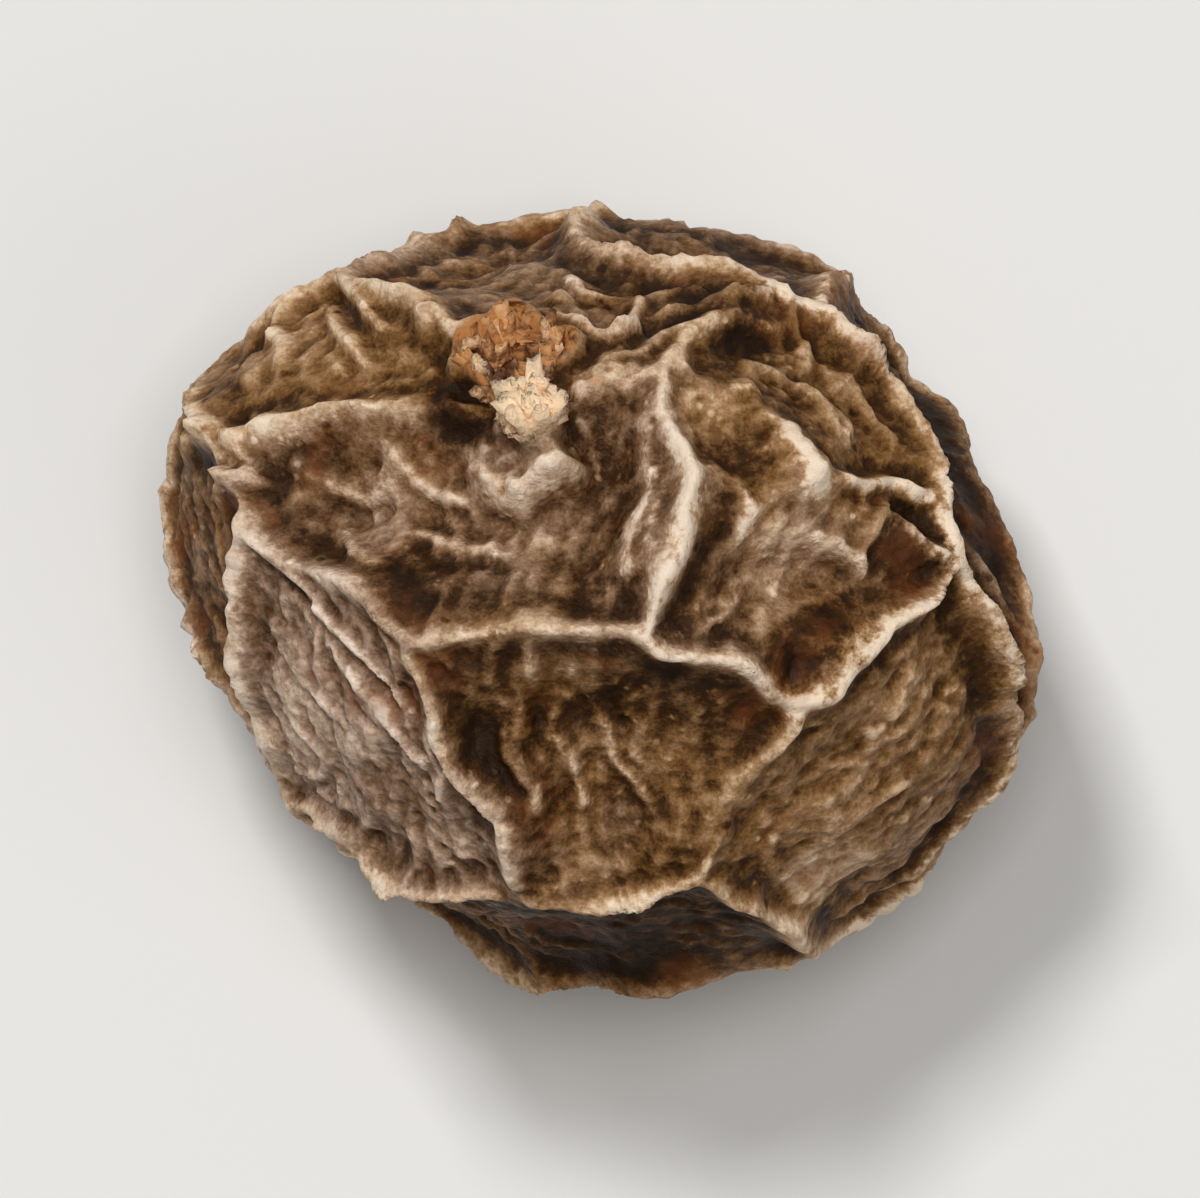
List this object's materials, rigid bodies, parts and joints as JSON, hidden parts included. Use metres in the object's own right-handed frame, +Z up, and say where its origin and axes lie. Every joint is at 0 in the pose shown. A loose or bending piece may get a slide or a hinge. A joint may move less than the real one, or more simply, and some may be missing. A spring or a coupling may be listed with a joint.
{
  "type": "black peppercorn",
  "caption": "Dried round berry with a wrinkled net of thin raised ridges round hollow panels, a torn stalk scar near the top and a small flat spot to rest on.",
  "frame": {"origin": "centre of the underside, on the surface that the peppercorn rests on", "axes": "+Z up, +X along its longest width, +Y towards the side that the stalk scar leans to"},
  "size_m": [0.0052, 0.0046, 0.0046],
  "materials": {
    "skin": "dry wrinkled skin, dark brown to grey-brown with paler tan ridge crests, faintly waxy"
  },
  "bodies": {
    "root": {"peppercorn": "skin"}
  },
  "joints": []
}
